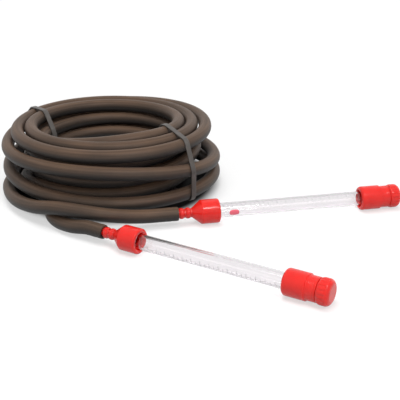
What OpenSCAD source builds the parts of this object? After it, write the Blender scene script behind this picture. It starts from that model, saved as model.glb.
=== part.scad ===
// Hose water level: two clear sight tubes in screw-capped fittings, joined by one long
// rubber hose that is wound into a tied coil. Millimetres, +Z up, floor at z = 0,
// the coil's axis at the origin and sight tube A along +X.

/* [Hose] */
// Outside diameter of the hose
hose_d = 15; // [13:0.25:15.25]
// Bore of the hose
hose_bore = 10; // [8:0.25:10.5]
// How far each hose end is pushed over its barbed tail
hose_grip = 20; // [15:0.5:24]

/* [Coil] */
// Free space between neighbouring turns
turn_gap = 0.7; // [0.6:0.05:0.9]
// Centreline radius of the innermost loop of the lower layers
coil_r_in = 66; // [62:0.5:70]
// Centreline radius of the outermost loop of the lower layers
coil_r_mid = 101.5; // [99:0.5:102]
// Centreline radius of the innermost loop of the top layer
top_r_in = 76; // [72:0.5:80]
// Centreline radius of the outermost loop of the top layer
top_r_out = 113.5; // [111:0.5:115]
// Centreline radius of the loops that run down the outside
outer_r = 118; // [117.5:0.5:120]
// How far the outside loops bulge on the right
outer_bulge = 6; // [0:0.5:8]
// How far the top layer's inner loops rise at the front
top_crown = 9.5; // [0:0.5:12]

/* [Ties] */
// Width of a tie band
tie_w = 6; // [4:0.5:10]
// Thickness of a tie band
tie_t = 1.2; // [0.8:0.1:2]
// Space between a tie and the hose
tie_clear = 0.6; // [0.4:0.1:1]

/* [Sight tube] */
// Outside diameter of a sight tube
tube_d = 16; // [14:0.25:16.5]
// Bore of a sight tube
tube_bore = 12; // [9:0.25:13]
// Length of a sight tube that shows between its fittings
tube_show = 161; // [100:1:250]
// Depth of a sight tube in each fitting
tube_seat = 19.5; // [17:0.5:22]
// Radial space round a sight tube in its socket
tube_clear = 0.1; // [0.05:0.05:0.2]

/* [Seals] */
// Section diameter of a seal ring
seal_d = 1.7; // [1.2:0.1:2]
// Free space round a seal ring in its groove
seal_clear = 0.05; // [0.02:0.01:0.1]
// Distance from a socket's mouth to its seal groove
seal_depth = 10; // [8:0.5:12]

/* [Lower fitting] */
// Outside diameter of the socket
socket_d = 26.5; // [25:0.5:30]
// Length of the socket
socket_l = 20; // [20:0.5:28]
// Rounding of the socket's mouth
socket_round = 2; // [1:0.25:2.5]
// Diameter of the recess in each mouth
recess_d = 19; // [18:0.25:19.5]
// Depth of the recess in each mouth
recess_l = 6; // [3:0.5:7]
// Length of the cone behind the socket
cone_l = 10; // [6:0.5:12]
// Diameter of the small end of the cone
cone_d = 10.5; // [10.5:0.25:14]
// Diameter of the tail between its barbs
tail_d = 9.8; // [9:0.1:10.4]
// Diameter of the tail's rounded barbs
barb_d = 12; // [11:0.1:13]
// Distance from one barb to the next
barb_pitch = 7; // [6:0.1:7.2]
// Plain length of tail between the cone and the first barb
neck_l = 1; // [0.5:0.5:4]
// Number of barbs on the tail
barbs = 4; // [3:1:4]
// Number of barbs left bare in front of the hose
bare_barbs = 2; // [1:1:2]
// Bore through the tail
tail_bore = 7; // [5:0.25:8]

/* [Upper fitting] */
// Outside diameter of the upper fitting's body
body_d = 26.5; // [25:0.5:30]
// Length of the upper fitting's body
body_l = 23; // [22:0.5:30]
// Rounding of the body's mouth
body_round = 3; // [1:0.25:3]
// Diameter of the collar under the cap
collar_d = 24.2; // [22:0.2:25]
// Length of the collar under the cap
collar_l = 10.5; // [6:0.5:12]
// Outside diameter of the threaded neck
thread_d = 16.5; // [16:0.25:17]
// Length of the threaded neck
thread_l = 8; // [6:0.5:8.5]
// Bore through the neck
neck_bore = 10; // [8:0.25:12]

/* [Cap] */
// Outside diameter of the cap
cap_d = 26; // [25:0.25:26.5]
// Length of the cap
cap_l = 12.7; // [12:0.1:16]
// Diameter of the cap's open edge
cap_rim_d = 24; // [22:0.2:25]
// Length over which the cap widens from its open edge
cap_rim_l = 2.5; // [1:0.25:3]
// Distance from the open edge to the end of the straight grip
cap_grip_l = 7.5; // [6:0.25:8]
// Diameter of the flat end of the cap
cap_end_d = 14.5; // [12:0.5:18]
// Radial space between the thread and the cap
thread_clear = 0.1; // [0.05:0.05:0.2]
// Space between the closed cap and the collar
cap_gap = 0.3; // [0.2:0.1:0.6]
// Number of grip flutes round the cap
flutes = 18; // [12:1:24]
// Depth of a grip flute
flute_depth = 0.5; // [0.2:0.1:0.8]
// Thickness of the gasket in the cap
gasket_t = 1.6; // [1:0.1:2]
// Diameter of the gasket
gasket_d = 16; // [14:0.1:16]
// Space between the gasket and the inside of the cap
gasket_clear = 0.1; // [0.05:0.05:0.3]

/* [Hidden] */
$fn = 64;

hose_color = [0.17, 0.14, 0.12];
tie_color = [0.3, 0.28, 0.27];
fitting_color = [0.8, 0.05, 0.06];
tube_color = [0.85, 0.9, 0.92, 0.4];
seal_color = [0.12, 0.12, 0.12];

// Stations along one sight unit, from the mouth of its lower socket at 0
tube_l = tube_show + 2 * tube_seat;
tail_start = -socket_l - cone_l;
barb_start = tail_start - neck_l - barb_pitch / 2;
hose_face = barb_start - (bare_barbs - 0.5) * barb_pitch;
tail_tip = hose_face - hose_grip;
body_start = tube_show;
collar_start = body_start + body_l;
neck_start = collar_start + collar_l;
neck_end = neck_start + thread_l;
cap_start = neck_start + cap_gap;
cap_inside = neck_end + gasket_t + gasket_clear;
axis_z = max(socket_d, body_d) / 2;
seal_r = tube_d / 2 + seal_d / 2 + seal_clear;

// Each sight unit lies at the mouth of its lower socket, turned about the vertical
unit_a_at = [101.5, -138, axis_z];
unit_a_turn = 0;
unit_b_at = [6.8, -198.45, axis_z];
unit_b_turn = -43;

// The winding, counted in turns from where the hose joins the floor loop
turn_pitch = hose_d + turn_gap;
start_angle = 60;
floor_turns = 0.272;
lead_climb = 0.18;
floor_z = hose_d / 2 + tie_clear + tie_t;
layer_1_z = floor_z + turn_pitch;
layers = 4;
lower_turns = (coil_r_mid - coil_r_in) / turn_pitch;
turn_1 = floor_turns;
turn_2 = turn_1 + lower_turns;
turn_3 = turn_2 + lower_turns;
turn_4 = turn_3 + (coil_r_mid - top_r_in) / turn_pitch;
turn_5 = turn_4 + (top_r_out - top_r_in) / turn_pitch;
end_angle = 173;
end_turn = ceil(turn_5 + 2) + (end_angle - start_angle) / 360;
top_z = layer_1_z + (layers - 1) * turn_pitch;
front_angle = 258;
right_angle = -12;
// Heights of the outside loops at each quarter turn on from the end of the top layer
outer_z = [top_z, 66, 57, 58, 35, 33, 32, 23, 17, floor_z, floor_z, floor_z, floor_z];
rings_per_turn = 24;
coil_sides = 6;

// Routes of the two free ends, from the coil to the straight run into the fitting
end_sides = 12;
route_a = [
    [-119, -30, 9.5], [-111, -63, 12], [-94, -95, 17], [-71, -122, 24.5],
    [-48, -138, 25.5], [-22, -144, 21.5], [4, -142, 16.5], [22, -138.5, 13.6],
];
route_b = [
    [83, 54, 8.5], [91, 23, 7.6], [83, -8, 7.5], [60, -30, 7.5], [29, -38, 7.5],
    [5, -35, 7.5], [-16, -35, 7.5], [-40, -40, 7.5], [-56, -50, 7.5], [-70, -70, 7.5],
    [-76, -95, 7.5], [-70, -120, 8.1], [-57, -139, 10],
];

function unit(v) = v / norm(v);
function heading(angle) = [cos(angle), sin(angle), 0];
function smooth(u) = let (x = min(1, max(0, u))) x * x * (3 - 2 * x);
function turn_angle(s) = start_angle + 360 * s;

// Radius of the winding: in and out again at one turn pitch per turn, then the outside loops
function wind_r(s) =
    lookup(s, [
        [0, coil_r_mid - floor_turns * turn_pitch], [turn_1, coil_r_mid],
        [turn_2, coil_r_in], [turn_3, coil_r_mid], [turn_4, top_r_in],
        [turn_5, top_r_out], [turn_5 + 0.25, outer_r], [end_turn, outer_r],
    ])
    + outer_bulge * smooth((s - turn_5) / 0.25)
      * pow((1 + cos(turn_angle(s) - right_angle)) / 2, 2);

// Height of the piled layers: each climb takes the half turn where the spiral reverses
function climb(s, at) = turn_pitch * smooth((s - at + 0.25) / 0.5);
function crown(s) =
    top_crown * smooth((s - turn_4 + 0.25) / 0.5)
    * max(0, (top_r_out - wind_r(s)) / (top_r_out - top_r_in))
    * (1 + cos(turn_angle(s) - front_angle)) / 2;
function pile_z(s) =
    floor_z + turn_pitch * smooth((s - turn_1) / lead_climb)
    + climb(s, turn_2) + climb(s, turn_3) + climb(s, turn_4) + crown(s);

// Height of the outside loops: a smooth curve through the quarter-turn heights
function hermite(a, b, c, d, u) =
    b + 0.5 * u * (c - a + u * (2 * a - 5 * b + 4 * c - d + u * (3 * (b - c) + d - a)));
function outside_z(s) =
    let (q = (s - turn_5) * 4, k = floor(q))
    max(floor_z, hermite(outer_z[max(0, k - 1)], outer_z[k], outer_z[k + 1], outer_z[k + 2], q - k));

function wind(s) =
    let (a = turn_angle(s), r = wind_r(s), z = s < turn_5 ? pile_z(s) : outside_z(s))
    [r * cos(a), r * sin(a), z];
function level(v) = unit([v.x, v.y, 0]);
wind_step = 1 / rings_per_turn;
start_way = level(wind(0.01) - wind(0));
end_way = level(wind(end_turn) - wind(end_turn - 0.01));
coil_start = wind(0) - hose_d * start_way;
coil_end = wind(end_turn) + hose_d * end_way;
coil_line = concat(
    [coil_start],
    [for (s = [0 : wind_step : end_turn - wind_step / 2]) wind(s)],
    [wind(end_turn), coil_end]
);

function unit_point(at, turn, x) = at + x * heading(turn);
function end_line(first, route, at, turn) =
    concat([first], route, [unit_point(at, turn, tail_tip), unit_point(at, turn, hose_face)]);
line_a = end_line(coil_end, route_a, unit_a_at, unit_a_turn);
line_b = end_line(coil_start, route_b, unit_b_at, unit_b_turn);

// Least space between the hose's strands, measured from each point to each stretch
function to_stretch(p, a, b) =
    let (d = b - a, u = min(1, max(0, (p - a) * d / (d * d)))) norm(p - a - u * d);
function self_gap(line, skip) = min([
    for (i = [0 : len(line) - 1]) for (j = [i + skip : 1 : len(line) - 2])
        to_stretch(line[i], line[j], line[j + 1])
]) - hose_d;
function pair_gap(one, other) = min([
    for (p = one) for (j = [0 : len(other) - 2]) to_stretch(p, other[j], other[j + 1])
]) - hose_d;
function inner(line, from) = [for (i = [from : len(line) - 1]) line[i]];
function line_length(line) =
    [for (i = [0 : len(line) - 2]) norm(line[i + 1] - line[i])]
    * [for (i = [0 : len(line) - 2]) 1];
echo(coil_gap = self_gap(coil_line, rings_per_turn / 2));
echo(end_a_gap = pair_gap(inner(line_a, 2), coil_line));
echo(end_b_gap = pair_gap(inner(line_b, 2), coil_line));
echo(crossing_gap = pair_gap(line_a, line_b));
echo(hose_length = line_length(coil_line) + line_length(line_a) + line_length(line_b));

// A tube's ring: its corners lie square to the way the tube runs
function ring(centre, way, radius, sides) =
    let (side = unit(cross([0, 0, 1], way)), up = cross(way, side))
    [for (i = [0 : sides - 1]) let (a = 360 * i / sides) centre + radius * (cos(a) * side + sin(a) * up)];
function way_at(line, i) = unit(line[min(i + 1, len(line) - 1)] - line[max(i - 1, 0)]);

module loft(rings) {
    n = len(rings[0]);
    last = (len(rings) - 1) * n;
    walls = [
        for (k = [0 : len(rings) - 2]) for (i = [0 : n - 1])
            let (a = k * n + i, b = k * n + (i + 1) % n)
            for (face = [[a, a + n, b], [b, a + n, b + n]]) face
    ];
    first_cap = [for (i = [1 : n - 2]) [0, i, i + 1]];
    last_cap = [for (i = [1 : n - 2]) [last, last + i + 1, last + i]];
    polyhedron([for (r = rings) each r], concat(walls, first_cap, last_cap));
}

module hose_coil() {
    last = len(coil_line) - 1;
    color(hose_color)
        loft([
            for (i = [0 : last])
                let (way = i < 2 ? start_way : i > last - 2 ? end_way : way_at(coil_line, i))
                ring(coil_line[i], way, hose_d / 2, coil_sides)
        ]);
}

// A free end: a tube from the coil, with a pocket in its far end for the barbed tail
module hose_end(line, first_way, turn) {
    last = len(line) - 1;
    far_way = heading(turn);
    color(hose_color)
        loft(concat(
            [
                for (i = [0 : last])
                    let (way = i == 0 ? first_way : i > last - 2 ? far_way : way_at(line, i))
                    ring(line[i], way, hose_d / 2, end_sides)
            ],
            [for (p = [line[last], line[last - 1]]) ring(p, far_way, hose_bore / 2, end_sides)]
        ));
}

// A tie: a flat band drawn round every strand that passes its plane, at a skew to the strands
tie_samples = [for (s = [0 : wind_step / 8 : end_turn]) wind(s)];
tie_reach = 70;
module tie(at_angle, skew) {
    middle = (coil_r_in + outer_r) / 2 * heading(at_angle);
    along = heading(at_angle + skew);
    across = heading(at_angle + skew + 90);
    half_band = tie_w / 2 + hose_d / 2 * abs(sin(skew));
    strands = [
        for (p = tie_samples)
            let (v = p - middle)
            if (abs(v * across) <= half_band && abs(v * along) < tie_reach) [v * along, p.z]
    ];
    color(tie_color)
        translate(middle) rotate([90, 0, at_angle + skew])
            linear_extrude(tie_w, center = true)
                difference() {
                    tie_outline(strands, tie_clear + tie_t);
                    tie_outline(strands, tie_clear);
                }
}
module tie_outline(strands, space) {
    hull()
        for (p = strands)
            translate(p) circle(d = hose_d + 2 * space, $fn = 32);
}
tie_front_angle = -46;
tie_front_skew = -20;
tie_rear_angle = 146;
tie_rear_skew = -29;
module tie_front() tie(tie_front_angle, tie_front_skew);
module tie_rear() tie(tie_rear_angle, tie_rear_skew);

// Pieces of a sight unit: profiles of radius and station, turned about the unit's axis
module place_a() translate(unit_a_at) rotate([0, 90, unit_a_turn]) children();
module place_b() translate(unit_b_at) rotate([0, 90, unit_b_turn]) children();
function arc(cx, cy, rx, ry, from, to, steps) =
    [for (i = [0 : steps]) let (a = from + (to - from) * i / steps) [cx + rx * cos(a), cy + ry * sin(a)]];
arc_steps = 6;

// The socket's bore from its mouth inwards, for a mouth at station 0 that opens downwards
socket_r = tube_d / 2 + tube_clear;
groove_r = seal_r + seal_d / 2 + seal_clear;
groove_half = seal_d / 2 + 2 * seal_clear;
socket_bore = [
    [recess_d / 2, 0], [recess_d / 2, recess_l], [socket_r, recess_l],
    [socket_r, seal_depth - groove_half], [groove_r, seal_depth - groove_half],
    [groove_r, seal_depth + groove_half], [socket_r, seal_depth + groove_half],
    [socket_r, tube_seat],
];
function flipped(profile) = [for (p = profile) [p.x, -p.y]];
function shifted(profile, by) = [for (p = profile) [p.x, p.y + by]];

barb_half = 0.36 * barb_pitch;
barb_profile = [
    for (k = [0 : barbs - 1])
        let (station = barb_start - k * barb_pitch)
        each arc(tail_d / 2, station, (barb_d - tail_d) / 2, barb_half, 90, -90, arc_steps)
];
tail_lead = 1;
module lower_fitting() {
    profile = concat(
        flipped(socket_bore),
        [[tail_bore / 2, -tube_seat], [tail_bore / 2, tail_tip], [tail_d / 2 - tail_lead, tail_tip]],
        [[tail_d / 2, tail_tip + tail_lead]],
        [for (i = [len(barb_profile) - 1 : -1 : 0]) barb_profile[i]],
        [[tail_d / 2, tail_start], [cone_d / 2, tail_start], [socket_d / 2, -socket_l]],
        arc(socket_d / 2 - socket_round, -socket_round, socket_round, socket_round, 0, 90, arc_steps)
    );
    color(fitting_color) rotate_extrude() polygon(profile);
}

module upper_fitting() {
    profile = concat(
        shifted(socket_bore, body_start),
        [[neck_bore / 2, body_start + tube_seat], [neck_bore / 2, neck_end], [thread_d / 2, neck_end]],
        [[thread_d / 2, neck_start], [collar_d / 2, neck_start], [collar_d / 2, collar_start]],
        [[body_d / 2, collar_start]],
        arc(body_d / 2 - body_round, body_start + body_round, body_round, body_round, 0, -90, arc_steps)
    );
    color(fitting_color) rotate_extrude() polygon(profile);
}

module sight_tube() {
    color(tube_color)
        rotate_extrude()
            translate([tube_bore / 2, -tube_seat]) square([(tube_d - tube_bore) / 2, tube_l]);
}

module seal(station) {
    color(seal_color)
        translate([0, 0, station]) rotate_extrude() translate([seal_r, 0]) circle(d = seal_d, $fn = 32);
}
module lower_seal() seal(-seal_depth);
module upper_seal() seal(body_start + seal_depth);

module cap_gasket() {
    color(seal_color) translate([0, 0, neck_end]) cylinder(d = gasket_d, h = gasket_t);
}

flute_r = 1.5;
module cap() {
    cap_end = cap_start + cap_l;
    bore_r = thread_d / 2 + thread_clear;
    profile = concat(
        [[0, cap_inside], [bore_r, cap_inside], [bore_r, cap_start], [cap_rim_d / 2, cap_start]],
        [[cap_d / 2, cap_start + cap_rim_l], [cap_d / 2, cap_start + cap_grip_l]],
        [[cap_end_d / 2, cap_end], [0, cap_end]]
    );
    color(fitting_color)
        difference() {
            rotate_extrude() polygon(profile);
            for (i = [0 : flutes - 1])
                rotate(360 * i / flutes)
                    translate([cap_d / 2 + flute_r - flute_depth, 0, cap_start + cap_rim_l])
                        cylinder(r = flute_r, h = cap_l);
        }
}

hose_coil();
hose_end(line_a, end_way, unit_a_turn);  // hose_end_a
hose_end(line_b, -start_way, unit_b_turn);  // hose_end_b
tie_front();
tie_rear();
place_a() lower_fitting();  // lower_fitting_a
place_a() lower_seal();  // lower_seal_a
place_a() sight_tube();  // sight_tube_a
place_a() upper_fitting();  // upper_fitting_a
place_a() upper_seal();  // upper_seal_a
place_a() cap_gasket();  // cap_gasket_a
place_a() cap();  // cap_a
place_b() lower_fitting();  // lower_fitting_b
place_b() lower_seal();  // lower_seal_b
place_b() sight_tube();  // sight_tube_b
place_b() upper_fitting();  // upper_fitting_b
place_b() upper_seal();  // upper_seal_b
place_b() cap_gasket();  // cap_gasket_b
place_b() cap();  // cap_b
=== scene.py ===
"""Hose water level: one long rubber hose wound into a tied coil, with a barbed fitting, a clear sight
tube and a screw-capped fitting at each end. Metres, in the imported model's frame: the floor at z = 0,
the coil's axis at the origin and sight tube A along +X."""

import bpy
import numpy as np
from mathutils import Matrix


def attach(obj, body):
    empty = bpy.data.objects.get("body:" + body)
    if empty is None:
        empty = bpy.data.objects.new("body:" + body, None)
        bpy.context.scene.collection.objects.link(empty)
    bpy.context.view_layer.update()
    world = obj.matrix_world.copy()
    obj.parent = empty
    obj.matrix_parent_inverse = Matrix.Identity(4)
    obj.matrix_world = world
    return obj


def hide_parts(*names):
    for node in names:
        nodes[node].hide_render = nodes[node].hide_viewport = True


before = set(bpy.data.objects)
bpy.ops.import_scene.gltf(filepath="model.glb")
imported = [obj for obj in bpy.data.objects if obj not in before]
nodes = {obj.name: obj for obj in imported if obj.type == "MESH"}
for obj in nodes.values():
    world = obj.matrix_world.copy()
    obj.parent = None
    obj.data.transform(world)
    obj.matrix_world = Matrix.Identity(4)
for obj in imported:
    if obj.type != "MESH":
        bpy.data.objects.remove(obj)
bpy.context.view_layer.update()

UP = np.array((0.0, 0.0, 1.0))

# Hose
HOSE_D = 0.015
HOSE_GRIP = 0.020
HOSE_SIDES = 28
HOSE_STEP = 0.0045
HOSE_LIP = 0.0007
# Hose over a barbed tail: the space left round the tail, the share of a barb's height that shows
# outside, the length that this fades out over, and how far past the tail the finer rings go on
POCKET_SPACE = 0.00005
POCKET_ROWS = 60
SWELL_SHARE = 0.12
SWELL_FADE = 0.004
SWELL_PAST = 0.006
SWELL_ROWS = 50

# Winding, counted in turns from where the hose joins the floor loop
TURN_PITCH = 0.0157
COIL_R_IN = 0.066
COIL_R_MID = 0.1015
TOP_R_IN = 0.076
TOP_R_OUT = 0.1135
OUTER_R = 0.118
OUTER_BULGE = 0.006
TOP_CROWN = 0.0095
FLOOR_Z = 0.0093
LAYERS = 4
QUARTER = 0.25
START_ANGLE = np.radians(60)
END_ANGLE = np.radians(173)
FRONT_ANGLE = np.radians(258)
RIGHT_ANGLE = np.radians(-12)
LEAD_CLIMB = 0.18
LOWER_TURNS = (COIL_R_MID - COIL_R_IN) / TURN_PITCH
TURN_1 = 0.272
TURN_2 = TURN_1 + LOWER_TURNS
TURN_3 = TURN_2 + LOWER_TURNS
TURN_4 = TURN_3 + (COIL_R_MID - TOP_R_IN) / TURN_PITCH
TURN_5 = TURN_4 + (TOP_R_OUT - TOP_R_IN) / TURN_PITCH
END_TURN = np.ceil(TURN_5 + 2) + (END_ANGLE - START_ANGLE) / (2 * np.pi)
TOP_Z = FLOOR_Z + LAYERS * TURN_PITCH
# Heights of the outside loops at each quarter turn on from the end of the top layer
OUTER_Z = np.array([TOP_Z, 0.066, 0.057, 0.058, 0.035, 0.033, 0.032, 0.023, 0.017] + 4 * [FLOOR_Z])
WOUND_POINTS = 48 * 12

# Routes of the two free ends, from the coil to the straight run into the fitting
ROUTE_A = np.array([
    (-0.119, -0.030, 0.0095), (-0.111, -0.063, 0.0120), (-0.094, -0.095, 0.0170),
    (-0.071, -0.122, 0.0245), (-0.048, -0.138, 0.0255), (-0.022, -0.144, 0.0215),
    (0.004, -0.142, 0.0165), (0.022, -0.1385, 0.0136),
])
ROUTE_B = np.array([
    (0.083, 0.054, 0.0085), (0.091, 0.023, 0.0076), (0.083, -0.008, 0.0075),
    (0.060, -0.030, 0.0075), (0.029, -0.038, 0.0075), (0.005, -0.035, 0.0075),
    (-0.016, -0.035, 0.0075), (-0.040, -0.040, 0.0075), (-0.056, -0.050, 0.0075),
    (-0.070, -0.070, 0.0075), (-0.076, -0.095, 0.0075), (-0.070, -0.120, 0.0081),
    (-0.057, -0.139, 0.0100),
])
STRAIGHT_POINTS = 5

# Ties: a band lies between two distances from the strands that it holds
TIE_W = 0.006
TIE_INSIDE = 0.00015
TIE_OUTSIDE = 0.00178
TIE_ROUND = 0.0005
TIE_STEP = 0.0012
TIE_REACH = 0.070
TIE_STRAND_POINTS = 200 * 12
TIE_WAYS = 721
# Angle of each tie about the coil, and its skew from the radius there
TIES = {
    "front": (np.radians(-46), np.radians(-20)),
    "rear": (np.radians(146), np.radians(-29)),
}

# Radii and stations along one sight unit, from the mouth of its lower socket at 0
TUBE_R = 0.008
TUBE_BORE_R = 0.006
TUBE_SHOW = 0.161
TUBE_SEAT = 0.0195
SOCKET_R = 0.01325
SOCKET_L = 0.020
SOCKET_ROUND = 0.002
SOCKET_BORE_R = 0.0081
SEAL_DEPTH = 0.010
GROOVE_R = 0.0098
GROOVE_HALF = 0.00095
RECESS_R = 0.0095
RECESS_L = 0.006
TAIL_START = -0.030
TAIL_R = 0.0049
TAIL_BORE_R = 0.0035
TAIL_LEAD = 0.001
TAIL_ROWS = 130
CONE_R = 0.00525
CONE_EASE = 0.001
BARB_R = 0.006
BARB_START = -0.0345
BARB_PITCH = 0.007
BARB_HALF = 0.36 * BARB_PITCH
BARBS = 4
HOSE_FACE = -0.045
TAIL_TIP = HOSE_FACE - HOSE_GRIP
BODY_R = 0.01325
BODY_L = 0.023
BODY_ROUND = 0.003
COLLAR_R = 0.0121
COLLAR_START = TUBE_SHOW + BODY_L
RINGS = 4
RING_DEPTH = 0.0002
RING_MARGIN = 0.0022
RING_ROWS = 12
NECK_START = COLLAR_START + 0.0105
NECK_END = NECK_START + 0.008
NECK_R = 0.00825
NECK_BORE_R = 0.005
NECK_ROWS = 72
CAP_START = NECK_START + 0.0003
CAP_L = 0.0127
CAP_R = 0.013
CAP_RIM_R = 0.012
CAP_RIM_L = 0.0025
CAP_GRIP_L = 0.0075
CAP_END_R = 0.0078
CAP_BORE_R = 0.00835
CAP_INSIDE = NECK_END + 0.0017
CAP_POLE_R = 0.0004
CAP_ROWS = 60
# Angle in degrees at which the arc of the cap's rounded end goes on from the grip
CROWN_FROM = 4
CROWN_STEPS = 16
FLUTES = 18
FLUTE_R = 0.0015
FLUTE_DEPTH = 0.0005
FLUTE_SOFT = 0.0001
TURNED_SIDES = 96
FLUTED_SIDES = FLUTES * 14
AXIS_Z = SOCKET_R
UNITS = {
    "a": (np.array((0.1015, -0.138, AXIS_Z)), np.radians(0)),
    "b": (np.array((0.0068, -0.19845, AXIS_Z)), np.radians(-43)),
}

# Screw threads: the stations that each starts and ends at, and how far inside these its rows keep
THREAD_PITCH = 0.003
THREAD_STEEP = 1.6
THREAD_RUNOUT = 0.0012
THREAD_INSET = 0.0002
NECK_THREAD = (NECK_START + 0.001, NECK_END - 0.001)
NECK_THREAD_DEPTH = 0.0008
CAP_THREAD = (CAP_START + 0.001, CAP_INSIDE - 0.0005)
CAP_THREAD_DEPTH = 0.0006

# Rounds drawn at the corners of a profile, from steps in the outside down to the edges of bores
STEP_ROUND = 0.0009
EDGE_ROUND = 0.0006
NECK_ROUND = 0.0004
BORE_ROUND = 0.0003
CORNER_SHARE = 0.4
CORNER_HOLD = 1.15
CORNER_STEPS = 5

# Printed scale: the reach of a mark round the tube in radians and half its thickness, for tenths,
# fifths and single marks, and the edge that each unit's marks start at with the way that they go
SCALE_FROM = 0.004
SCALE_TO = 0.157
SCALE_STEP = 0.001
SCALE_REACH = (1.10, 0.90, 0.45)
SCALE_HALF = (0.00022, 0.00020, 0.00010)
SCALE_RINGS = 9
SCALE_EDGES = {"a": (np.radians(-15), 1), "b": (np.radians(146), -1)}
INK_RISE = 0.00003
INK_SINK = 0.00004
# Red mark on tube A, and the shares of its size that its rings have on the underside and on top
MARK_STATION = 0.0155
MARK_ANGLE = np.radians(94)
MARK_HALF_L = 0.0055
MARK_HALF_W = 0.0033
MARK_POWER = 2.6
MARK_UNDER = (0.08, 0.5, 1.0)
MARK_OVER = (1.0, 0.75, 0.5, 0.25, 0.08)
MARK_SIDES = 40

# Finish of the hose: the rubber's brown patch colours, the cosines round from the underside at which
# the brown starts to show over a painted underside shade and is full, the colour of that painted shade,
# and the streaks' noise scales along and across with the shades that they go between
BROWN_PATCH_COLOURS = ((0.059, 0.040, 0.029), (0.132, 0.079, 0.050))
UNDERSIDE_SHADE_RANGE = {"From Min": 0.45, "From Max": -1.0}
UNDERSIDE_SHADE_COLOUR = (0.024, 0.0225, 0.0215, 1)
STREAK_SCALE = (9.0, 420.0, 1.0)
STREAK_SHADES = {"To Min": 0.30, "To Max": 1.70}

# Camera at the photograph's place
CAMERA_PLACE = (-0.0988, -0.9819, 0.3917)
CAMERA_DOWN = np.radians(22.9)
CAMERA_RIGHT = np.radians(12)
CAMERA_LENS = 78.39
CAMERA_SENSOR = 36.0
CAMERA_NEAREST = 0.01

# Floor: a painted shadow, dark and without glow in a ring under the turns, by the distance from the
# circle that they lie about, and with more glow far off, where the lamps' light falls away
FLOOR_HALF = 8.0
FLOOR_SHADES = {"A": 0.05, "B": 0.42}
FLOOR_GLOW = 0.56
SHADE_CENTRE = (0.003, 0.006, 0.0)
SHADE_R = 0.092
SHADE_RANGE = {"From Min": 0.023, "From Max": 0.042}
FAR_RANGE = {"From Min": 0.3, "From Max": 3.0, "To Min": 0.0, "To Max": 0.36}

# Light: the world's strength for the rays that are not seen and for those that are, and each lamp's
# place, the point that it is aimed at, its width, its power in watts and whether glossy rays see it
WORLD_STRENGTH = {"To Min": 0.40, "To Max": 1.0}
WHITE = (1, 1, 1, 1)
LAMPS = {
    "top_lamp": ((-0.15, -0.07, 2.4), (0, 0, 0), 1.2, 33.0, False),
    "front_lamp": ((0.39, -1.05, 1.29), (0.09, -0.14, 0), 0.3, 6.0, True),
    "left_lamp": ((-1.2, -0.7, 0.8), (0, -0.1, 0), 0.8, 2.5, False),
    "low_lamp": ((0.35, -1.3, 0.25), (0.06, -0.15, 0.02), 0.8, 3.8, False),
}


def unit_vector(v):
    """Each vector over its own length."""
    return v / np.linalg.norm(v, axis=-1, keepdims=True)


def ease(u):
    """Smooth step: u^2 (3 - 2u), held at 0 before it and at 1 after it."""
    u = np.clip(u, 0, 1)
    return u * u * (3 - 2 * u)


def whole_turn(sides):
    """Even angles once round, from 0."""
    return np.linspace(0, 2 * np.pi, sides, endpoint=False)


def run_of(line):
    """Distance along a line of points, from its first."""
    steps = np.linalg.norm(np.diff(line, axis=0), axis=1)
    return np.concatenate([[0], np.cumsum(steps)])


def at_run(values, run, along):
    """Values given at the distances of run, read at other distances by straight steps."""
    return np.stack([np.interp(along, run, values[:, i]) for i in range(values.shape[1])], axis=1)


def smooth_line(points, step):
    """Cubic curve through the points, measured by chord length, whose slope at each point is that of
    the parabola through it and its neighbours. It is worked out at a quarter of the step and given
    back at even steps."""
    run = run_of(points)
    slope = np.gradient(points, run, axis=0)
    fine = np.linspace(0, run[-1], int(4 * run[-1] / step))
    k = np.clip(np.searchsorted(run, fine, side="right") - 1, 0, len(run) - 2)
    h = (run[k + 1] - run[k])[:, None]
    u = (fine - run[k])[:, None] / h
    curve = (
        (1 + 2 * u) * (1 - u) ** 2 * points[k] + u * (1 - u) ** 2 * h * slope[k]
        + u ** 2 * (3 - 2 * u) * points[k + 1] + u ** 2 * (u - 1) * h * slope[k + 1]
    )
    fine_run = run_of(curve)
    count = int(round(fine_run[-1] / step)) + 1
    return at_run(curve, fine_run, np.linspace(0, fine_run[-1], count))


def softened(profile, radius, closed):
    """A profile with each corner drawn round: a parabola from a point before the corner to one after
    it, at the radius or CORNER_SHARE of the shorter side away, with a holding point past each end,
    CORNER_HOLD times as far from the corner."""
    before = np.roll(profile, 1, axis=0) - profile
    after = np.roll(profile, -1, axis=0) - profile
    shorter = np.minimum(np.linalg.norm(before, axis=1), np.linalg.norm(after, axis=1))
    reach = np.minimum(shorter * CORNER_SHARE, radius)[:, None]
    start = profile + unit_vector(before) * reach
    end = profile + unit_vector(after) * reach
    t = np.linspace(0, 1, CORNER_STEPS)[None, :, None]
    corner = profile[:, None]
    curve = (1 - t) ** 2 * start[:, None] + 2 * t * (1 - t) * corner + t ** 2 * end[:, None]
    first = corner + (start - profile)[:, None] * CORNER_HOLD
    last = corner + (end - profile)[:, None] * CORNER_HOLD
    held = np.concatenate([first, curve, last], axis=1)
    if closed:
        return held.reshape(-1, 2)
    return np.concatenate([profile[:1], held[1:-1].reshape(-1, 2), profile[-1:]])


def arc(centre, radii, start, end, steps=8):
    """Part of an ellipse: centre + (rx cos a, ry sin a), from one angle in degrees to another."""
    a = np.radians(np.linspace(start, end, steps + 1))
    return np.stack([centre[0] + radii[0] * np.cos(a), centre[1] + radii[1] * np.sin(a)], axis=1)


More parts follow.
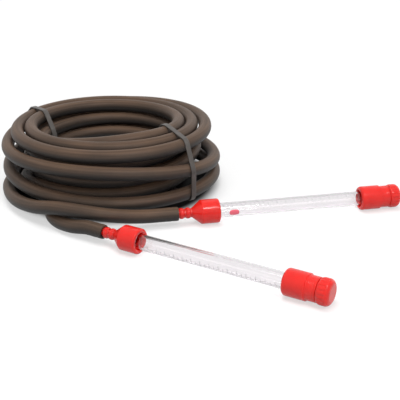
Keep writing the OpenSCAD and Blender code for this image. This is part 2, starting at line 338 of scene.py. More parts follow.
def grid_object(name, points, material, body, along=False, caps=False, uv=None):
    """Object of a grid of points (rows, columns, xyz): a quad between each four neighbours, closed
    round the columns, closed along the rows too or with one face at each end. Where uv is given, it
    places the corners on a map named run."""
    rows, columns = points.shape[:2]
    index = np.arange(rows * columns).reshape(rows, columns)
    index = np.concatenate([index, index[:, :1]], axis=1)
    if along:
        index = np.concatenate([index, index[:1]], axis=0)
    quads = np.stack([index[:-1, :-1], index[:-1, 1:], index[1:, 1:], index[1:, :-1]], axis=-1)
    faces = quads.reshape(-1, 4).tolist()
    if caps:
        faces += [index[0, :0:-1].tolist(), index[-1, 1:].tolist()]
    mesh = bpy.data.meshes.new(name)
    mesh.from_pydata(points.reshape(-1, 3).tolist(), [], faces)
    mesh.shade_smooth()
    if uv is not None:
        corners = np.stack([uv[:-1, :-1], uv[:-1, 1:], uv[1:, 1:], uv[1:, :-1]], axis=2)
        flat = np.zeros((len(mesh.loops), 2), np.float32)
        flat[:corners.size // 2] = corners.reshape(-1, 2)
        mesh.uv_layers.new(name="run").data.foreach_set("uv", flat.ravel())
    return finished(mesh, material, body)


def finished(mesh, material, body):
    """Object of a mesh, at the origin, with its finish and the body that it rides on."""
    mesh.materials.append(material)
    obj = bpy.data.objects.new(mesh.name, mesh)
    bpy.context.scene.collection.objects.link(obj)
    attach(obj, body)
    return obj


def set_inputs(node, values):
    """Give inputs of a node their plain values."""
    for key, value in values.items():
        node.inputs[key].default_value = value


def new_node(tree, kind, inputs=None, **settings):
    """A node in a tree, with its settings and the values of its inputs."""
    made = tree.nodes.new(kind)
    for key, value in settings.items():
        setattr(made, key, value)
    set_inputs(made, inputs or {})
    return made


def surface_marks():
    """Group: soft patches and fine grain from two noises on the same coordinates. Patches are the low
    noise stretched about its middle, grain is the fine noise as it is."""
    tree = bpy.data.node_groups.new("surface_marks", "ShaderNodeTree")
    face = tree.interface
    face.new_socket("Vector", in_out="INPUT", socket_type="NodeSocketVector")
    for name in ("Patch Scale", "Grain Scale", "Contrast"):
        face.new_socket(name, in_out="INPUT", socket_type="NodeSocketFloat")
    for name in ("Patches", "Grain"):
        face.new_socket(name, in_out="OUTPUT", socket_type="NodeSocketFloat")
    given = new_node(tree, "NodeGroupInput")
    result = new_node(tree, "NodeGroupOutput")
    low = new_node(tree, "ShaderNodeTexNoise", {"Detail": 4.0, "Roughness": 0.55})
    fine = new_node(tree, "ShaderNodeTexNoise", {"Detail": 3.0, "Roughness": 0.6})
    centre = new_node(tree, "ShaderNodeMath", {1: 0.5}, operation="SUBTRACT")
    stretch = new_node(tree, "ShaderNodeMath", operation="MULTIPLY")
    back = new_node(tree, "ShaderNodeMath", {1: 0.5}, operation="ADD", use_clamp=True)
    link = tree.links.new
    link(given.outputs["Vector"], low.inputs["Vector"])
    link(given.outputs["Vector"], fine.inputs["Vector"])
    link(given.outputs["Patch Scale"], low.inputs["Scale"])
    link(given.outputs["Grain Scale"], fine.inputs["Scale"])
    link(low.outputs["Fac"], centre.inputs[0])
    link(centre.outputs[0], stretch.inputs[0])
    link(given.outputs["Contrast"], stretch.inputs[1])
    link(stretch.outputs[0], back.inputs[0])
    link(back.outputs[0], result.inputs["Patches"])
    link(fine.outputs["Fac"], result.inputs["Grain"])
    return tree


MARKS = surface_marks()


def marked_material(
    name, colours, roughness, patch_scale, grain_scale, contrast, bump=0.0, fixed=None,
):
    """Material of one finish: its colour goes between two colours with the patches, its roughness
    between two values with the grain, and the grain also raises the surface by bump metres. The
    shader's other inputs have the fixed values given."""
    material = bpy.data.materials.new(name)
    material.use_nodes = True
    tree = material.node_tree
    link = tree.links.new
    shader = tree.nodes["Principled BSDF"]
    place = new_node(tree, "ShaderNodeTexCoord")
    scales = {"Patch Scale": patch_scale, "Grain Scale": grain_scale, "Contrast": contrast}
    marks = new_node(tree, "ShaderNodeGroup", scales, node_tree=MARKS)
    ends = {"A": (*colours[0], 1), "B": (*colours[1], 1)}
    tint = new_node(tree, "ShaderNodeMix", ends, data_type="RGBA")
    gloss = new_node(tree, "ShaderNodeMapRange", {"To Min": roughness[0], "To Max": roughness[1]})
    link(place.outputs["Object"], marks.inputs["Vector"])
    link(marks.outputs["Patches"], tint.inputs["Factor"])
    link(marks.outputs["Grain"], gloss.inputs["Value"])
    link(tint.outputs["Result"], shader.inputs["Base Color"])
    link(gloss.outputs["Result"], shader.inputs["Roughness"])
    if bump:
        raised = new_node(tree, "ShaderNodeBump", {"Strength": 1.0, "Distance": bump})
        link(marks.outputs["Grain"], raised.inputs["Height"])
        link(raised.outputs["Normal"], shader.inputs["Normal"])
    set_inputs(shader, fixed or {})
    return material


def hose_material():
    """Dull brown-black rubber: brown in patches, with a painted shade that darkens it to near black
    towards the underside, and faint streaks along the hose. The run map gives both: the streaks are a
    noise that is drawn out lengthwise, and the painted shade goes with the cosine of the way round from
    the underside."""
    material = marked_material(
        "hose_rubber", BROWN_PATCH_COLOURS, (0.42, 0.58), patch_scale=14.0, grain_scale=1400.0,
        contrast=1.6, bump=0.00012, fixed={"Specular IOR Level": 0.24},
    )
    tree = material.node_tree
    link = tree.links.new
    shader = tree.nodes["Principled BSDF"]
    tint = shader.inputs["Base Color"].links[0].from_node
    run = new_node(tree, "ShaderNodeUVMap", uv_map="run")
    drawn = new_node(tree, "ShaderNodeMapping", {"Scale": STREAK_SCALE})
    streaks = new_node(tree, "ShaderNodeTexNoise", {"Scale": 1.0, "Detail": 3.0})
    shade = new_node(tree, "ShaderNodeMapRange", STREAK_SHADES)
    tone = new_node(tree, "ShaderNodeMix", {"Factor": 1.0}, data_type="RGBA", blend_type="MULTIPLY")
    link(run.outputs["UV"], drawn.inputs["Vector"])
    link(drawn.outputs["Vector"], streaks.inputs["Vector"])
    link(streaks.outputs["Fac"], shade.inputs["Value"])
    link(tint.outputs["Result"], tone.inputs["A"])
    link(shade.outputs["Result"], tone.inputs["B"])
    # Painted shade: the colour darkens from the brown on top to near black on the hose's underside.
    parts = new_node(tree, "ShaderNodeSeparateXYZ")
    turn = new_node(tree, "ShaderNodeMath", {1: 2 / HOSE_D}, operation="MULTIPLY")
    drop = new_node(tree, "ShaderNodeMath", operation="COSINE")
    upper = new_node(tree, "ShaderNodeMapRange", UNDERSIDE_SHADE_RANGE, interpolation_type="SMOOTHSTEP")
    underside_shade = new_node(tree, "ShaderNodeMix", {"A": UNDERSIDE_SHADE_COLOUR}, data_type="RGBA")
    link(run.outputs["UV"], parts.inputs["Vector"])
    link(parts.outputs["Y"], turn.inputs[0])
    link(turn.outputs[0], drop.inputs[0])
    link(drop.outputs[0], upper.inputs["Value"])
    link(upper.outputs["Result"], underside_shade.inputs["Factor"])
    link(tone.outputs["Result"], underside_shade.inputs["B"])
    link(underside_shade.outputs["Result"], shader.inputs["Base Color"])
    return material


def clear_material():
    """Clear plastic with a faint warm tint, greyer where the wall is seen edge on, because the plastic
    takes some light along a ray's way through it. It lets lamplight through to what is inside: a shadow
    ray meets Transparent BSDF instead."""
    material = marked_material(
        "clear_tube", ((0.945, 0.930, 0.940), (0.970, 0.955, 0.962)), (0.01, 0.06),
        patch_scale=40.0, grain_scale=700.0, contrast=1.5,
        fixed={"Transmission Weight": 1.0, "IOR": 1.49},
    )
    tree = material.node_tree
    link = tree.links.new
    result = tree.nodes["Material Output"]
    path = new_node(tree, "ShaderNodeLightPath")
    through = new_node(tree, "ShaderNodeBsdfTransparent", {"Color": (0.93, 0.92, 0.93, 1)})
    either = new_node(tree, "ShaderNodeMixShader")
    taken = {"Color": (0.80, 0.79, 0.80, 1), "Density": 150.0}
    wall = new_node(tree, "ShaderNodeVolumeAbsorption", taken)
    link(path.outputs["Is Shadow Ray"], either.inputs["Fac"])
    link(tree.nodes["Principled BSDF"].outputs["BSDF"], either.inputs[1])
    link(through.outputs["BSDF"], either.inputs[2])
    link(either.outputs["Shader"], result.inputs["Surface"])
    link(wall.outputs["Volume"], result.inputs["Volume"])
    return material


RUBBER = hose_material()
BAND = marked_material(
    "tie_band", ((0.055, 0.049, 0.045), (0.105, 0.094, 0.086)), (0.36, 0.52),
    patch_scale=120.0, grain_scale=2500.0, contrast=1.8, bump=0.00004,
    fixed={"Specular IOR Level": 0.4},
)
RED = marked_material(
    "red_plastic", ((0.75, 0.013, 0.009), (0.83, 0.020, 0.013)), (0.16, 0.26),
    patch_scale=60.0, grain_scale=1800.0, contrast=1.6, bump=0.00002,
    fixed={
        "Specular IOR Level": 0.4, "Subsurface Weight": 0.5, "Subsurface Scale": 0.012,
        "Subsurface Radius": (1.0, 0.12, 0.08),
    },
)
CLEAR = clear_material()
SEAL = marked_material(
    "seal_rubber", ((0.016, 0.016, 0.016), (0.030, 0.030, 0.030)), (0.45, 0.60),
    patch_scale=200.0, grain_scale=3000.0, contrast=1.5, bump=0.00002,
    fixed={"Specular IOR Level": 0.4},
)
INK = marked_material(
    "scale_ink", ((0.37, 0.365, 0.38), (0.46, 0.455, 0.47)), (0.40, 0.55),
    patch_scale=900.0, grain_scale=4000.0, contrast=1.5,
)
RED_INK = marked_material(
    "red_ink", ((0.89, 0.135, 0.190), (0.96, 0.175, 0.245)), (0.35, 0.50),
    patch_scale=500.0, grain_scale=4000.0, contrast=1.5,
)


def quarter_heights(q):
    """Catmull-Rom curve through OUTER_Z at each whole q."""
    k = np.clip(np.floor(q).astype(int), 0, len(OUTER_Z) - 3)
    u = q - k
    a, b = OUTER_Z[np.maximum(0, k - 1)], OUTER_Z[k]
    c, d = OUTER_Z[k + 1], OUTER_Z[k + 2]
    return b + 0.5 * u * (c - a + u * (2 * a - 5 * b + 4 * c - d + u * (3 * (b - c) + d - a)))


def wound(s):
    """Centreline of the winding after s turns. Its radius runs in and out a pitch each turn, then
    keeps to the outside with a bulge on the right; its height climbs a layer in the half turn about
    each turning point, with a crown at the front of the top layer, then comes down the outside to the
    floor."""
    angle = START_ANGLE + 2 * np.pi * s
    turns = [0, TURN_1, TURN_2, TURN_3, TURN_4, TURN_5, TURN_5 + QUARTER, END_TURN]
    radii = [
        COIL_R_MID - TURN_1 * TURN_PITCH, COIL_R_MID, COIL_R_IN, COIL_R_MID, TOP_R_IN,
        TOP_R_OUT, OUTER_R, OUTER_R,
    ]
    quarters_out = (s - TURN_5) / QUARTER
    right = ((1 + np.cos(angle - RIGHT_ANGLE)) / 2) ** 2
    radius = np.interp(s, turns, radii) + OUTER_BULGE * ease(quarters_out) * right
    climbs = [ease((s - at + QUARTER) / (2 * QUARTER)) for at in (TURN_2, TURN_3, TURN_4)]
    inward = np.maximum(0, (TOP_R_OUT - radius) / (TOP_R_OUT - TOP_R_IN))
    front = (1 + np.cos(angle - FRONT_ANGLE)) / 2
    pile = FLOOR_Z + TURN_PITCH * (ease((s - TURN_1) / LEAD_CLIMB) + sum(climbs))
    pile = pile + TOP_CROWN * climbs[-1] * inward * front
    outside = np.maximum(FLOOR_Z, quarter_heights(np.maximum(0, quarters_out)))
    height = np.where(s < TURN_5, pile, outside)
    return np.stack([radius * np.cos(angle), radius * np.sin(angle), height], axis=-1)


def heading(turn):
    """Level direction at an angle from +X."""
    return np.array((np.cos(turn), np.sin(turn), 0.0))


def about_axis(unit, station, radius=0.0, angle=0.0):
    """Points about a sight unit's axis: its place + station along its heading + radius (cos a up +
    sin a front), for arrays that broadcast together."""
    at, turn = UNITS[unit]
    way = heading(turn)
    front = np.cross(way, UP)
    station, radius, angle = (np.asarray(given)[..., None] for given in (station, radius, angle))
    return at + station * way + radius * (np.cos(angle) * UP + np.sin(angle) * front)


def hose_centreline():
    """One smooth line from fitting A's hose face, along its free end, back through the whole winding
    and out along the other free end to fitting B's hose face."""
    straight = np.linspace(HOSE_FACE, TAIL_TIP, STRAIGHT_POINTS)
    winding = wound(np.linspace(0, END_TURN, WOUND_POINTS))
    level = np.array((1, 1, 0))
    first_way = unit_vector((winding[1] - winding[0]) * level)
    last_way = unit_vector((winding[-1] - winding[-2]) * level)
    points = np.concatenate([
        about_axis("a", straight), ROUTE_A[::-1], [winding[-1] + HOSE_D * last_way], winding[::-1],
        [winding[0] - HOSE_D * first_way], ROUTE_B, about_axis("b", straight[::-1]),
    ])
    return smooth_line(points, HOSE_STEP)


def tail_radius(station):
    """Outside of a barbed tail: its core, with a half ellipse standing on it at each barb."""
    barb = np.round((BARB_START - station) / BARB_PITCH)
    off = (station - BARB_START + barb * BARB_PITCH) / BARB_HALF
    height = np.sqrt(np.maximum(0, 1 - off ** 2))
    on_tail = (barb >= 0) & (barb < BARBS)
    return TAIL_R + (BARB_R - TAIL_R) * height * on_tail


def swept(line, along, radius, sides):
    """Tube of rings: at each distance along the line, a circle of that radius square to the line,
    centre + radius (cos a side + sin a up), from the underside round."""
    run = run_of(line)
    centre = at_run(line, run, along)
    way = unit_vector(at_run(np.gradient(line, run, axis=0), run, along))
    side = unit_vector(np.cross(UP, way))
    up = np.cross(way, side)
    a = whole_turn(sides) - np.pi / 2
    spokes = np.cos(a)[:, None] * side[:, None] + np.sin(a)[:, None] * up[:, None]
    return centre[:, None] + radius[:, None, None] * spokes


def hose_piece(line):
    """The hose as one closed tube. Each end is cut square with a rounded lip, opens into a pocket that
    fits its barbed tail, and swells a little where it is stretched over the barbs."""
    whole = run_of(line)[-1]
    in_pocket = np.linspace(HOSE_GRIP, 0, POCKET_ROWS)
    pocket = tail_radius(HOSE_FACE - in_pocket) + POCKET_SPACE
    lip = arc((HOSE_LIP, HOSE_D / 2 - HOSE_LIP), (HOSE_LIP, HOSE_LIP), 180, 90, 5)
    over_tail = np.linspace(2 * HOSE_LIP, HOSE_GRIP + SWELL_PAST, SWELL_ROWS)
    fade = ease((HOSE_GRIP - over_tail) / SWELL_FADE)
    swell = SWELL_SHARE * (tail_radius(HOSE_FACE - over_tail) - TAIL_R) * fade
    along = np.concatenate([in_pocket, lip[:, 0], over_tail])
    radius = np.concatenate([pocket, lip[:, 1], HOSE_D / 2 + swell])
    middle = np.arange(along[-1] + HOSE_STEP, whole - along[-1] - HOSE_STEP / 2, HOSE_STEP)
    along = np.concatenate([along, middle, whole - along[::-1]])
    radius = np.concatenate([radius, np.full(len(middle), HOSE_D / 2), radius[::-1]])
    points = swept(line, along, radius, HOSE_SIDES)
    across = np.linspace(0, np.pi * HOSE_D, HOSE_SIDES + 1)
    uv = np.stack(np.broadcast_arrays(along[:, None], across[None]), axis=-1)
    hose = grid_object("hose", points, RUBBER, "hose_and_tubes", caps=True, uv=uv)
    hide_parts("hose_coil", "hose_end_a", "hose_end_b")
    return hose


def tie_piece(name, at_angle, skew):
    """A flat band drawn tight round every strand that passes under it. In the band's own upright plane
    its outline is the furthest strand in each direction plus the hose's radius that way; the section
    is a rectangle with round corners, carried round that outline."""
    middle = (COIL_R_IN + OUTER_R) / 2 * heading(at_angle)
    along, across = heading(at_angle + skew), heading(at_angle + skew + np.pi / 2)
    strands = wound(np.linspace(0, END_TURN, TIE_STRAND_POINTS)) - middle
    half_band = TIE_W / 2 + HOSE_D / 2 * abs(np.sin(skew))
    near = (np.abs(strands @ across) <= half_band) & (np.abs(strands @ along) < TIE_REACH)
    spots = np.stack([strands[near] @ along, strands[near][:, 2]], axis=1)
    a = np.linspace(0, 2 * np.pi, TIE_WAYS)
    ways = np.stack([np.cos(a), np.sin(a)], axis=1)
    furthest = spots[np.argmax(ways @ spots.T, axis=1)]
    core = furthest + ways * HOSE_D / 2
    # A micrometre in all keeps the distances rising where two points of the outline are the same
    run = run_of(core) + np.linspace(0, 1e-6, len(core))
    even = np.linspace(0, run[-1], int(run[-1] / TIE_STEP), endpoint=False)
    core = at_run(core, run, even)
    out = unit_vector(at_run(ways, run, even))
    section = softened(np.array([
        (TIE_INSIDE, -TIE_W / 2), (TIE_OUTSIDE, -TIE_W / 2),
        (TIE_OUTSIDE, TIE_W / 2), (TIE_INSIDE, TIE_W / 2),
    ]), TIE_ROUND, True)
    flat = core[:, None] + out[:, None] * section[None, :, :1]
    points = middle + flat[..., :1] * along + flat[..., 1:] * UP + section[None, :, 1:] * across
    tie = grid_object(f"{name}_tie", points, BAND, "hose_and_tubes", along=True)
    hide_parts(f"tie_{name}")
    return tie


def turned(unit, stations, radii, sides):
    """Surface turned about a sight unit's axis, where radii is one column or a column for each side."""
    return about_axis(unit, stations[:, None], radii.reshape(len(stations), -1), whole_turn(sides))


def all_round(profile, sides):
    """Radii of a profile, the same in a column for each side."""
    return np.repeat(profile[:, :1], sides, axis=1)


def socket_bore(mouth, sense):
    """Bore of a tube socket from its mouth inwards, as (radius, station): the recess, the bore with
    its seal groove, and the floor that the tube stands on."""
    near, far = SEAL_DEPTH - GROOVE_HALF, SEAL_DEPTH + GROOVE_HALF
    bore = np.array([
        (RECESS_R, 0), (RECESS_R, RECESS_L), (SOCKET_BORE_R, RECESS_L), (SOCKET_BORE_R, near),
        (GROOVE_R, near), (GROOVE_R, far), (SOCKET_BORE_R, far), (SOCKET_BORE_R, TUBE_SEAT),
    ])
    return bore * (1, sense) + (0, mouth)


def lower_fitting(unit):
    """Lower fitting: a tail with rounded barbs, a cone and a socket, turned from one closed profile."""
    last_barb = BARB_START - (BARBS - 0.5) * BARB_PITCH
    barbed = np.linspace(last_barb, TAIL_START - CONE_EASE / 2, TAIL_ROWS)
    tail = np.stack([tail_radius(barbed), barbed], axis=1)
    tip = softened(np.array([
        (TAIL_BORE_R, TAIL_TIP), (TAIL_R - TAIL_LEAD, TAIL_TIP), (TAIL_R, TAIL_TIP + TAIL_LEAD),
        (TAIL_R, last_barb),
    ]), EDGE_ROUND, False)
    shoulder = softened(np.array([
        (TAIL_R, TAIL_START - CONE_EASE), (CONE_R, TAIL_START), (SOCKET_R, -SOCKET_L), (SOCKET_R, 0),
    ]), EDGE_ROUND, False)
    mouth = arc((SOCKET_R - SOCKET_ROUND, -SOCKET_ROUND), (SOCKET_ROUND, SOCKET_ROUND), 0, 90)
    inside = softened(np.concatenate([
        socket_bore(0, -1), [(TAIL_BORE_R, -TUBE_SEAT), (TAIL_BORE_R, TAIL_TIP)],
    ]), BORE_ROUND, False)
    profile = np.concatenate([tip[:-1], tail, shoulder[1:-1], mouth, inside[:-1]])
    points = turned(unit, profile[:, 1], profile[:, 0], TURNED_SIDES)
    piece = grid_object(
        f"barbed_socket_{unit}", points, RED, "hose_and_tubes", along=True,
    )
    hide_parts(f"lower_fitting_{unit}")


def thread(stations, angles, crest, depth, start, end):
    """Right-handed screw thread as radii: below the crest by depth where the station's distance along
    the helix, over the pitch, is in the valley, with runouts at both ends. A depth below 0 cuts
    outwards, for a bore."""
    phase = (stations[:, None] - start) / THREAD_PITCH - angles[None] / (2 * np.pi)
    valley = np.abs(2 * (phase % 1) - 1)
    wave = ease(THREAD_STEEP * (valley - 0.5) + 0.5)
    fade = ease((stations - start) / THREAD_RUNOUT) * ease((end - stations) / THREAD_RUNOUT)
    return crest - depth * wave * fade[:, None]


def upper_fitting(unit):
    """Upper fitting: a socket, a collar with shallow rings (a cosine wave) and a threaded neck, turned
    from one closed profile whose neck has the thread cut into it."""
    body = arc((BODY_R - BODY_ROUND, TUBE_SHOW + BODY_ROUND), (BODY_ROUND, BODY_ROUND), -90, 0)
    shoulder = softened(np.array([
        (BODY_R, TUBE_SHOW + BODY_ROUND), (BODY_R, COLLAR_START), (COLLAR_R, COLLAR_START),
        (COLLAR_R, COLLAR_START + RING_MARGIN),
    ]), STEP_ROUND, False)
    ringed = np.linspace(COLLAR_START + RING_MARGIN, NECK_START - RING_MARGIN, RING_ROWS * RINGS + 1)
    wave = np.cos(2 * np.pi * RINGS * np.linspace(0, 1, len(ringed)))
    collar = np.stack([COLLAR_R - RING_DEPTH * (1 - wave) / 2, ringed], axis=1)
    edge = softened(np.array([
        (COLLAR_R, NECK_START - RING_MARGIN), (COLLAR_R, NECK_START), (NECK_R, NECK_START),
        (NECK_R, NECK_THREAD[0]),
    ]), EDGE_ROUND, False)
    rows = np.linspace(NECK_THREAD[0] + THREAD_INSET, NECK_THREAD[1] - THREAD_INSET, NECK_ROWS)
    neck = thread(rows, whole_turn(TURNED_SIDES), NECK_R, NECK_THREAD_DEPTH, *NECK_THREAD)
    inside = softened(np.concatenate([
        [(NECK_R, NECK_THREAD[1]), (NECK_R, NECK_END), (NECK_BORE_R, NECK_END)],
        [(NECK_BORE_R, TUBE_SHOW + TUBE_SEAT)], socket_bore(TUBE_SHOW, 1)[::-1], [body[0]],
    ]), NECK_ROUND, False)[:-1]
    outside = np.concatenate([body, shoulder[1:-1], collar, edge[1:]])
    stations = np.concatenate([outside[:, 1], rows, inside[:, 1]])
    radii = np.concatenate([all_round(outside, TURNED_SIDES), neck, all_round(inside, TURNED_SIDES)])
    points = turned(unit, stations, radii, TURNED_SIDES)
    piece = grid_object(
        f"threaded_socket_{unit}", points, RED, "hose_and_tubes", along=True,
    )
    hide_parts(f"upper_fitting_{unit}")


def fluted(radii, angles):
    """Radii with a round groove at each flute: a point goes in to the circle of FLUTE_R about the
    flute's centre, by a soft maximum, so the groove's edges are a little round."""
    centre = CAP_R + FLUTE_R - FLUTE_DEPTH
    off = (angles * FLUTES / (2 * np.pi) + 0.5) % 1 - 0.5
    off = off * 2 * np.pi / FLUTES
    groove = centre * np.cos(off) - np.sqrt(np.maximum(0, FLUTE_R ** 2 - (centre * np.sin(off)) ** 2))
    cut = radii[:, None] - groove[None]
    return radii[:, None] - 0.5 * (cut + np.sqrt(cut ** 2 + FLUTE_SOFT ** 2))


def screw_cap(unit):
    """Screw cap: a rim that widens to a fluted grip and a rounded end outside, and a threaded bore
    inside, turned from the middle of the bore's floor out and round to the middle of the end."""
    grip_end, end = CAP_START + CAP_GRIP_L, CAP_START + CAP_L
    angles = whole_turn(FLUTED_SIDES)
    floor = softened(np.array([
        (CAP_POLE_R, CAP_INSIDE), (CAP_BORE_R, CAP_INSIDE), (CAP_BORE_R, CAP_THREAD[1]),
    ]), BORE_ROUND, False)
    rows = np.linspace(CAP_THREAD[1] - THREAD_INSET / 2, CAP_THREAD[0] + THREAD_INSET, CAP_ROWS)
    bore = thread(rows, angles, CAP_BORE_R, -CAP_THREAD_DEPTH, *CAP_THREAD)
    shell = softened(np.array([
        (CAP_BORE_R, CAP_THREAD[0]), (CAP_BORE_R, CAP_START), (CAP_RIM_R, CAP_START),
        (CAP_R, CAP_START + CAP_RIM_L), (CAP_R, grip_end),
    ]), STEP_ROUND, False)
    crown = arc((CAP_END_R, grip_end), (CAP_R - CAP_END_R, end - grip_end), CROWN_FROM, 90, CROWN_STEPS)
    flat = np.array([(CAP_END_R - EDGE_ROUND, end), (CAP_END_R / 2, end), (CAP_POLE_R, end)])
    outside = np.concatenate([shell, crown, flat])
    stations = np.concatenate([floor[:, 1], rows, outside[:, 1]])
    radii = np.concatenate([all_round(floor, FLUTED_SIDES), bore, fluted(outside[:, 0], angles)])
    points = turned(unit, stations, radii, FLUTED_SIDES)
    piece = grid_object(f"fluted_cap_{unit}", points, RED, f"cap_{unit}", caps=True)
    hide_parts(f"cap_{unit}")


def sight_tube(unit):
    """Clear sight tube: a plain wall with small edge rounds, turned from its closed section."""
    start, end = -TUBE_SEAT, TUBE_SHOW + TUBE_SEAT
    section = softened(np.array([
        (TUBE_R, start), (TUBE_R, end), (TUBE_BORE_R, end), (TUBE_BORE_R, start),
    ]), BORE_ROUND, True)
    points = turned(unit, section[:, 1], section[:, 0], TURNED_SIDES)
    piece = grid_object(f"clear_tube_{unit}", points, CLEAR, "hose_and_tubes", along=True)
    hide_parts(f"sight_tube_{unit}")


def scale_marks(unit):
    """Printed scale: a thin curved bar on the tube at each millimetre, from the scale's edge round the
    tube and longer at each fifth and tenth; a bar is a ring of four corners carried along its arc."""
    station = np.arange(SCALE_FROM, SCALE_TO + SCALE_STEP / 2, SCALE_STEP)
    count = np.arange(len(station))
    longer = [count % 10 == 0, count % 5 == 0]
    reach = np.select(longer, SCALE_REACH[:2], SCALE_REACH[2])
    half = np.select(longer, SCALE_HALF[:2], SCALE_HALF[2])
    edge, sense = SCALE_EDGES[unit]
    angle = edge + sense * reach[:, None] * np.linspace(0, 1, SCALE_RINGS)
    low, high = TUBE_R - INK_SINK, TUBE_R + INK_RISE
    corner_r = np.array((low, high, high, low))
    corner_x = station[:, None] + half[:, None] * np.array((-1, -1, 1, 1))
    points = about_axis(unit, corner_x[:, None], corner_r, angle[..., None])
    index = np.arange(angle.size * 4).reshape(*angle.shape, 4)
    turned_on = np.roll(index, -1, axis=2)
    walls = np.stack([index[:, :-1], index[:, 1:], turned_on[:, 1:], turned_on[:, :-1]], axis=-1)
    ends = np.concatenate([index[:, 0], index[:, -1, ::-1]])
    faces = np.concatenate([walls.reshape(-1, 4), ends])
    mesh = bpy.data.meshes.new(f"scale_{unit}")
    mesh.from_pydata(points.reshape(-1, 3).tolist(), [], faces.tolist())
    finished(mesh, INK, "hose_and_tubes")


def fill_mark():
    """A plain red mark printed on tube A near its lower socket: rings of the rounded oblong
    |x|^p + |y|^p = 1, where p is MARK_POWER, laid on the tube from the middle of its underside out and
    back over the top."""
    a = whole_turn(MARK_SIDES)
    oblong = np.stack([np.cos(a), np.sin(a)])
    oblong = np.sign(oblong) * np.abs(oblong) ** (2 / MARK_POWER)
    share = np.array(MARK_UNDER + MARK_OVER)[:, None]
    faces = (TUBE_R - INK_SINK, TUBE_R + INK_RISE)
    radius = np.repeat(faces, (len(MARK_UNDER), len(MARK_OVER)))[:, None]
    station = MARK_STATION + MARK_HALF_L * share * oblong[0]
    angle = MARK_ANGLE + MARK_HALF_W / TUBE_R * share * oblong[1]
    points = about_axis("a", station, radius, angle)
    grid_object("fill_mark_a", points, RED_INK, "hose_and_tubes", caps=True)


def camera():
    """Camera at the photograph's place, looking down and to the right."""
    data = bpy.data.cameras.new("camera")
    data.lens = CAMERA_LENS
    data.sensor_width = CAMERA_SENSOR
    data.clip_start = CAMERA_NEAREST
    obj = bpy.data.objects.new("camera", data)
    obj.location = CAMERA_PLACE
    obj.rotation_euler = (np.pi / 2 - CAMERA_DOWN, 0, -CAMERA_RIGHT)
    bpy.context.scene.collection.objects.link(obj)
    bpy.context.scene.camera = obj


def seen_rays(tree):
    """1 for camera, glossy and transmission rays, and 0 for the rest."""
    path = new_node(tree, "ShaderNodeLightPath")
    first = new_node(tree, "ShaderNodeMath", operation="MAXIMUM")
    second = new_node(tree, "ShaderNodeMath", operation="MAXIMUM")
    tree.links.new(path.outputs["Is Camera Ray"], first.inputs[0])
    tree.links.new(path.outputs["Is Glossy Ray"], first.inputs[1])
    tree.links.new(first.outputs[0], second.inputs[0])
    tree.links.new(path.outputs["Is Transmission Ray"], second.inputs[1])
    return second.outputs[0]


def surroundings():
    """White surroundings for the rays that are seen, and an even fill for the rest."""
    world = bpy.data.worlds.new("studio")
    bpy.context.scene.world = world
    world.use_nodes = True
    tree = world.node_tree
    background = tree.nodes["Background"]
    strength = new_node(tree, "ShaderNodeMapRange", WORLD_STRENGTH)
    tree.links.new(seen_rays(tree), strength.inputs["Value"])
    tree.links.new(strength.outputs["Result"], background.inputs["Strength"])
    set_inputs(background, {"Color": WHITE})


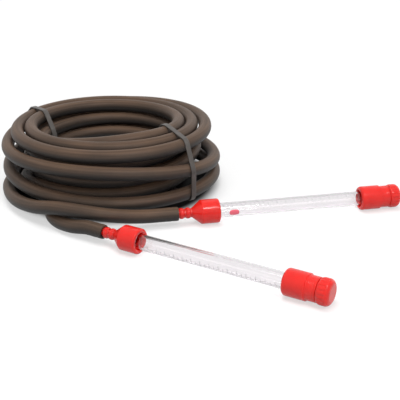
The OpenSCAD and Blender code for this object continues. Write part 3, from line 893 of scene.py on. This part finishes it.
def floor_material():
    """Pale paper that keeps its shadows, with a painted shadow added: dark in a ring under the turns,
    and elsewhere with a glow for the rays that are seen, which brings the lit floor up to white."""
    paper = bpy.data.materials.new("floor_paper")
    paper.use_nodes = True
    tree = paper.node_tree
    link = tree.links.new
    shader = tree.nodes["Principled BSDF"]
    set_inputs(shader, {"Roughness": 0.9, "Specular IOR Level": 0.0, "Emission Color": WHITE})
    place = new_node(tree, "ShaderNodeTexCoord")
    # Painted shadow: the floor's colour and glow fall away in a ring under the turns.
    off = new_node(tree, "ShaderNodeVectorMath", {1: SHADE_CENTRE}, operation="DISTANCE")
    past = new_node(tree, "ShaderNodeMath", {1: SHADE_R}, operation="SUBTRACT")
    away = new_node(tree, "ShaderNodeMath", operation="ABSOLUTE")
    clear = new_node(tree, "ShaderNodeMapRange", SHADE_RANGE, interpolation_type="SMOOTHSTEP")
    shade = new_node(tree, "ShaderNodeMix", FLOOR_SHADES)
    far = new_node(tree, "ShaderNodeMapRange", FAR_RANGE)
    both = new_node(tree, "ShaderNodeMath", {1: FLOOR_GLOW}, operation="MULTIPLY_ADD")
    glow = new_node(tree, "ShaderNodeMath", operation="MULTIPLY")
    link(place.outputs["Object"], off.inputs[0])
    link(off.outputs["Value"], past.inputs[0])
    link(past.outputs[0], away.inputs[0])
    link(away.outputs[0], clear.inputs["Value"])
    link(clear.outputs["Result"], shade.inputs["Factor"])
    link(shade.outputs["Result"], shader.inputs["Base Color"])
    link(off.outputs["Value"], far.inputs["Value"])
    link(clear.outputs["Result"], both.inputs[0])
    link(far.outputs["Result"], both.inputs[2])
    link(both.outputs[0], glow.inputs[0])
    link(seen_rays(tree), glow.inputs[1])
    link(glow.outputs[0], shader.inputs["Emission Strength"])
    return paper


def floor_sheet():
    """One wide square floor at z = 0."""
    corners = FLOOR_HALF * np.array([(-1, -1, 0), (1, -1, 0), (1, 1, 0), (-1, 1, 0)])
    mesh = bpy.data.meshes.new("floor")
    mesh.from_pydata(corners.tolist(), [], [(0, 1, 2, 3)])
    mesh.materials.append(floor_material())
    floor = bpy.data.objects.new("floor", mesh)
    bpy.context.scene.collection.objects.link(floor)


def lamps():
    """Soft square lamps above, in front and to the left, each turned from straight down to its aim."""
    for name, (place, aim, size, power, shines) in LAMPS.items():
        data = bpy.data.lights.new(name, "AREA")
        data.size = size
        data.energy = power
        lamp = bpy.data.objects.new(name, data)
        way = unit_vector(np.array(place) - np.array(aim))
        lamp.location = place
        lamp.rotation_euler = (np.arccos(way[2]), 0, np.arctan2(way[1], way[0]) + np.pi / 2)
        lamp.visible_glossy = shines
        bpy.context.scene.collection.objects.link(lamp)


camera()
HOSE_LINE = hose_centreline()
hose = hose_piece(HOSE_LINE)
ties = [tie_piece(name, *place) for name, place in TIES.items()]
for unit in UNITS:
    lower_fitting(unit)
    upper_fitting(unit)
    screw_cap(unit)
    sight_tube(unit)
    scale_marks(unit)
    for name in ("lower_seal", "upper_seal", "cap_gasket"):
        nodes[f"{name}_{unit}"].material_slots[0].material = SEAL
fill_mark()
surroundings()
floor_sheet()
lamps()
bpy.context.scene.view_settings.view_transform = "Standard"
